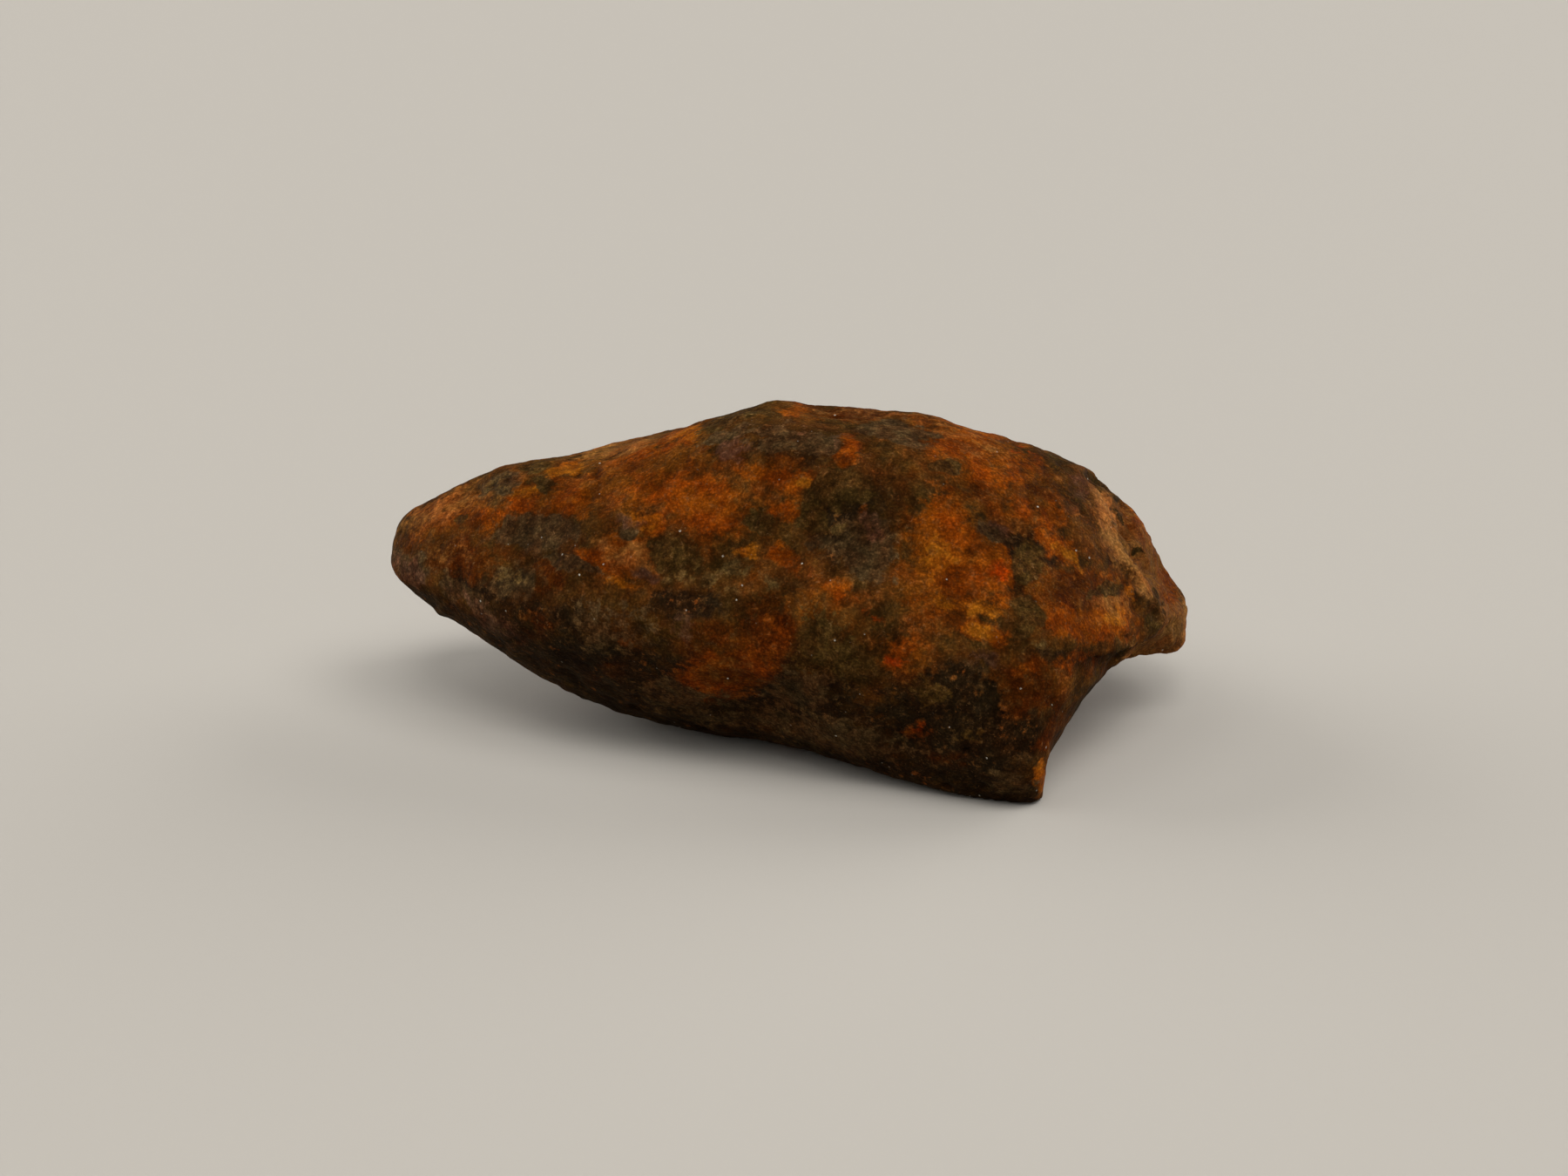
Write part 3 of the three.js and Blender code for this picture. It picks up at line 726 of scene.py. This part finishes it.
def rough_skin(mesh, low, high):
    """Weathers the skin, and returns how far each point stands above the plain form."""
    points = vertex_places(mesh)
    normals = vertex_normals(mesh)
    broken = smoothstep(BROKEN_END_FROM, BROKEN_END_FULL, points[:, 0])
    rise = np.zeros(len(points))
    for seed, (size, height) in enumerate(SKIN_LAYERS.values()):
        swing = noise(points, size, LAYER_SEED + seed)
        swing = np.where(swing > 0, swing, HOLLOW_SHARE * swing)
        rise += height * (1 + BROKEN_ROUGHNESS * broken) * swing
    rise -= pitted(points, broken)
    seen = seen_at(points)
    rise += facing_camera(points, normals) * (marked(seen) + ridge_rise(seen))
    flat = smoothstep(*REST_FADE, points[:, 2]) * (normals[:, 2] < REST_FACING)
    rise *= 1 - flat
    places = points + normals * rise[:, None]
    places = np.clip(places, low, high)
    places[:, 2] = np.where(flat > REST_SHARE, 0.0, places[:, 2])
    mesh.vertices.foreach_set("co", (places * MM).astype(np.float32).ravel())
    mesh.update()
    return rise


# ---------------------------------------------------------------- masks


def patch_mask(seen, patches):
    """How strongly a kind of patch shows at each point of the frame."""
    mask = np.zeros(len(seen))
    for middle, (half_width, half_height), lean, strength in patches.values():
        turn = math.radians(lean)
        offset = (seen - middle) * MM_PER_PIXEL
        along = offset[:, 0] * math.cos(turn) + offset[:, 1] * math.sin(turn)
        beside = offset[:, 1] * math.cos(turn) - offset[:, 0] * math.sin(turn)
        away = np.hypot(along / half_width, beside / half_height)
        mask = np.maximum(mask, strength * smoothstep(*PATCH_FADE, away))
    return mask


def wandering(points):
    """How far the patches' edges wander at each point, across and down, in millimetres."""
    bends = [layered(points, PATCH_BENDS, seed, *BEND_LAYERS) for seed in BEND_SEEDS]
    frays = [layered(points, PATCH_FRAYS, seed, *FRAY_LAYERS) for seed in FRAY_SEEDS]
    return PATCH_WANDER * np.stack(bends, axis=1) + PATCH_FRAY * np.stack(frays, axis=1)


def hidden_mask(points, kind, seed):
    """How strongly a kind of patch shows on the sides out of sight."""
    start = RARE_PATCHES.get(kind, COMMON_PATCHES)
    spots = layered(points, HIDDEN_SIZE, seed, *HIDDEN_LAYERS)
    return HIDDEN_STRENGTH * smoothstep(start, start + HIDDEN_FADE, spots)


def paint_masks(mesh, rise):
    """Stores where each kind of patch shows, where downward skin gets painted shade, and where it is
    sunk.
    """
    points = vertex_places(mesh)
    normals = vertex_normals(mesh)
    facing = facing_camera(points, normals)
    seen = seen_at(points) + wandering(points) / MM_PER_PIXEL
    for number, (kind, patches) in enumerate(PATCHES.items()):
        hidden = hidden_mask(points, kind, HIDDEN_SEED + HIDDEN_SEED_STEP * number)
        add_mask(mesh, kind, facing * patch_mask(seen, patches) + (1 - facing) * hidden)
    # Painted shade on downward skin, away from the broken end.
    unbroken = smoothstep(BROKEN_END_FULL, BROKEN_END_FROM, points[:, 0])
    add_mask(mesh, "underside_shade", unbroken * smoothstep(*UNDERSIDE, normals[:, 2]))
    # How far the skin rises, for painted shade in hollows and a painted highlight on rises.
    add_mask(mesh, "rise", smoothstep(*RISE_RANGE, rise))


def add_mask(mesh, name, values):
    attribute = mesh.attributes.new(name, "FLOAT", "POINT")
    attribute.data.foreach_set("value", values.astype(np.float32))


# ---------------------------------------------------------------- material


class Nodes:
    """Short ways to build and join shader nodes."""

    def __init__(self, material):
        material.use_nodes = True
        self.tree = material.node_tree
        self.tree.nodes.clear()

    def add(self, kind, **settings):
        node = self.tree.nodes.new(kind)
        for name, value in settings.items():
            setattr(node, name, value)
        return node

    def join(self, source, target):
        self.tree.links.new(source, target)

    def mask(self, name):
        return self.add("ShaderNodeAttribute", attribute_name=name).outputs["Fac"]

    def noise(self, place, size, detail, roughness, distortion):
        """Noise with lumps of about that size in millimetres."""
        node = self.add("ShaderNodeTexNoise")
        node.inputs["Scale"].default_value = 1.0 / (size * MM)
        node.inputs["Detail"].default_value = detail
        node.inputs["Roughness"].default_value = roughness
        node.inputs["Distortion"].default_value = distortion
        self.join(place, node.inputs["Vector"])
        return node.outputs["Fac"]

    def math(self, operation, first, second, third=None):
        node = self.add("ShaderNodeMath", operation=operation)
        for socket, value in zip(node.inputs, (first, second, third)):
            if isinstance(value, (int, float)):
                socket.default_value = value
            elif value is not None:
                self.join(value, socket)
        return node.outputs[0]

    def spread(self, value, low, high, to_low=0.0, to_high=1.0):
        """Takes a value from low to high smoothly to another range."""
        node = self.add("ShaderNodeMapRange", interpolation_type="SMOOTHSTEP")
        node.inputs["From Min"].default_value = low
        node.inputs["From Max"].default_value = high
        node.inputs["To Min"].default_value = to_low
        node.inputs["To Max"].default_value = to_high
        self.join(value, node.inputs["Value"])
        return node.outputs["Result"]

    def mix(self, share, first, second, blend="MIX"):
        node = self.add("ShaderNodeMix", data_type="RGBA", blend_type=blend)
        sockets = (node.inputs[0], node.inputs[6], node.inputs[7])
        for socket, value in zip(sockets, (share, first, second)):
            if isinstance(value, tuple):
                socket.default_value = (*value, 1.0)
            elif isinstance(value, float):
                socket.default_value = value
            else:
                self.join(value, socket)
        return node.outputs[2]

    def shaded(self, colour, value, shade):
        """The colour, made darker or lighter by a noise or a mask."""
        brightness = self.spread(value, *shade)
        grey = self.add("ShaderNodeCombineColor")
        for socket in grey.inputs:
            self.join(brightness, socket)
        return self.mix(1.0, colour, grey.outputs[0], "MULTIPLY")

    def finish(self, shader):
        output = self.add("ShaderNodeOutputMaterial")
        self.join(shader.outputs[0], output.inputs[0])


def patch_edge(nodes, noises):
    """Noise around zero that frays the edges of the patches."""
    granular = nodes.math("SUBTRACT", noises["granular"], EDGE_MIDDLE)
    return nodes.math("MULTIPLY_ADD", noises["ragged"], EDGE_RAGGED, granular)


def bare_skin(nodes, noises):
    """The brown skin between the patches."""
    tone = noises["tone"]
    colour = nodes.mix(nodes.spread(tone, *MIDDLE_SHARE), SKIN_DARK, SKIN_MIDDLE)
    return nodes.mix(nodes.spread(tone, *WARM_SHARE), colour, SKIN_WARM)


def patched(nodes, colour, edge):
    """Adds the patches, and also returns where the crusts among them show."""
    crusted = 0.0
    for kind, patch_colour in PATCH_COLOURS.items():
        shown = nodes.spread(nodes.math("ADD", nodes.mask(kind), edge), *PATCH_EDGES[kind])
        colour = nodes.mix(shown, colour, patch_colour)
        if kind in CRUSTS:
            crusted = nodes.math("MAXIMUM", crusted, shown)
    return colour, crusted


def dusted(nodes, noises, colour):
    """A tan dusting, and a slow drift between redder and greyer rust."""
    colour = nodes.mix(nodes.spread(noises["dusting"], *DUSTING_SHARE), colour, DUSTING_COLOUR)
    drift = nodes.mix(nodes.spread(noises["drift"], *DRIFT_SHARE), DRIFT_RED, DRIFT_GREY)
    return nodes.mix(1.0, colour, drift, "MULTIPLY")


def speckled(nodes, noises, colour, crusted):
    """Mottling and grain everywhere, pale flecks, and coarser crumbs on the crusts."""
    colour = nodes.shaded(colour, noises["mottle"], MOTTLE_SHADE)
    colour = nodes.shaded(colour, noises["granular"], GRANULAR_SHADE)
    colour = nodes.shaded(colour, noises["fine"], FINE_SHADE)
    colour = nodes.mix(nodes.spread(noises["flecks"], *FLECK_SHARE), colour, FLECK_COLOUR)
    return nodes.mix(crusted, colour, nodes.shaded(colour, noises["crumbs"], CRUMB_SHADE))


def with_glinting_grains(nodes, noises, place, colour):
    """Small pale mineral grains with a painted glint, lying in clusters, each one broken up."""
    cells = nodes.add("ShaderNodeTexVoronoi")
    cells.inputs["Scale"].default_value = 1.0 / (GRAIN_SPACING * MM)
    nodes.join(place, cells.inputs["Vector"])
    grains = nodes.spread(cells.outputs["Distance"], *GRAIN_SHARE)
    grains = nodes.math("MULTIPLY", grains, nodes.spread(noises["clusters"], *CLUSTER_SHARE))
    grains = nodes.math("MULTIPLY", grains, nodes.spread(noises["broken"], *BROKEN_SHARE))
    return nodes.mix(grains, colour, GRAIN_GLINT_COLOUR)


def rust_shader(nodes, noises, colour):
    shader = nodes.add("ShaderNodeBsdfPrincipled")
    shader.inputs["Specular IOR Level"].default_value = RUST_SPECULAR
    shader.inputs["Specular Tint"].default_value = (*SPECULAR_COLOUR, 1.0)
    shader.inputs["Sheen Weight"].default_value = RUST_SHEEN
    shader.inputs["Sheen Roughness"].default_value = SHEEN_ROUGHNESS
    shader.inputs["Sheen Tint"].default_value = (*SHEEN_COLOUR, 1.0)
    nodes.join(colour, shader.inputs["Base Color"])
    nodes.join(nodes.spread(noises["granular"], *RUST_ROUGHNESS), shader.inputs["Roughness"])
    bump = nodes.add("ShaderNodeBump")
    bump.inputs["Strength"].default_value = BUMP_STRENGTH
    bump.inputs["Distance"].default_value = BUMP_HEIGHT * MM
    relief = nodes.math("MULTIPLY_ADD", noises["fine"], FINE_RELIEF, noises["granular"])
    nodes.join(relief, bump.inputs["Height"])
    nodes.join(bump.outputs["Normal"], shader.inputs["Normal"])
    return shader


def rust_material():
    material = bpy.data.materials.new("rusted_iron")
    nodes = Nodes(material)
    place = nodes.add("ShaderNodeTexCoord").outputs["Object"]
    noises = {name: nodes.noise(place, *values) for name, values in RUST_NOISES.items()}
    colour = bare_skin(nodes, noises)
    colour, crusted = patched(nodes, colour, patch_edge(nodes, noises))
    colour = dusted(nodes, noises, colour)
    colour = speckled(nodes, noises, colour, crusted)
    # Painted shade in hollows and painted highlight on raised skin.
    colour = nodes.shaded(colour, nodes.mask("rise"), PAINTED_RELIEF_SHADE)
    # Painted shade: downward skin is darker.
    colour = nodes.shaded(colour, nodes.mask("underside_shade"), PAINTED_UNDERSIDE_SHADE)
    # Painted glints on pale mineral grains.
    colour = with_glinting_grains(nodes, noises, place, colour)
    nodes.finish(rust_shader(nodes, noises, colour))
    return material


# ---------------------------------------------------------------- meteorite


def build_meteorite(node):
    low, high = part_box("meteorite")
    mesh = refined_mesh(node)
    lowest = np.array(low) / MM - (SKIN_MARGIN, SKIN_MARGIN, 0)
    highest = np.array(high) / MM + SKIN_MARGIN
    rise = rough_skin(mesh, lowest, highest)
    paint_masks(mesh, rise)
    mesh.shade_smooth()
    mesh.materials.clear()
    mesh.materials.append(rust_material())
    skin = bpy.data.objects.new("meteorite_skin", mesh)
    bpy.context.scene.collection.objects.link(skin)
    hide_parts("meteorite")
    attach(skin, "root")


# ---------------------------------------------------------------- stage and light


def add_floor():
    mesh = bpy.data.meshes.new("floor")
    half = FLOOR_HALF * MM
    corners = [(-half, -half, 0.0), (half, -half, 0.0), (half, half, 0.0), (-half, half, 0.0)]
    mesh.from_pydata(corners, [], [(0, 1, 2, 3)])
    material = bpy.data.materials.new("sheet")
    nodes = Nodes(material)
    shader = nodes.add("ShaderNodeBsdfPrincipled")
    shader.inputs["Base Color"].default_value = (*FLOOR_COLOUR, 1.0)
    shader.inputs["Roughness"].default_value = FLOOR_ROUGHNESS
    shader.inputs["Specular IOR Level"].default_value = FLOOR_SPECULAR
    nodes.finish(shader)
    mesh.materials.append(material)
    floor = bpy.data.objects.new("floor", mesh)
    bpy.context.scene.collection.objects.link(floor)


def add_sun(name, swing, height, strength, spread):
    """A far lamp: its compass angle from +X, its height and its softness in degrees."""
    data = bpy.data.lights.new(name, "SUN")
    data.energy = strength
    data.angle = math.radians(spread)
    data.color = LAMP_COLOUR
    lamp = bpy.data.objects.new(name, data)
    level = math.cos(math.radians(height))
    toward = Vector((
        level * math.cos(math.radians(swing)),
        level * math.sin(math.radians(swing)),
        math.sin(math.radians(height)),
    ))
    lamp.location = toward
    lamp.rotation_euler = toward.to_track_quat("Z", "Y").to_euler()
    bpy.context.scene.collection.objects.link(lamp)


def add_light():
    for name, (swing, height, strength, spread) in LAMPS.items():
        add_sun(name, swing, height, strength, spread)
    world = bpy.data.worlds.new("room")
    world.use_nodes = True
    background = world.node_tree.nodes["Background"]
    background.inputs["Color"].default_value = (*LAMP_COLOUR, 1.0)
    background.inputs["Strength"].default_value = ROOM_LIGHT
    bpy.context.scene.world = world
    bpy.context.scene.view_settings.view_transform = "Standard"


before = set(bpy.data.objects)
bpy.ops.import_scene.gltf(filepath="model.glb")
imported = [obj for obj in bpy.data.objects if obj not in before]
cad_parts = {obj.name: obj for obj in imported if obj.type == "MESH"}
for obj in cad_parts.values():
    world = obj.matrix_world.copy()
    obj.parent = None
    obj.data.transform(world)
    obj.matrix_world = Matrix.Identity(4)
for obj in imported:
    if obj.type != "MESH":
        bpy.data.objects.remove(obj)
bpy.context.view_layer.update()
add_camera()
build_meteorite(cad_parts["meteorite"])
add_floor()
add_light()
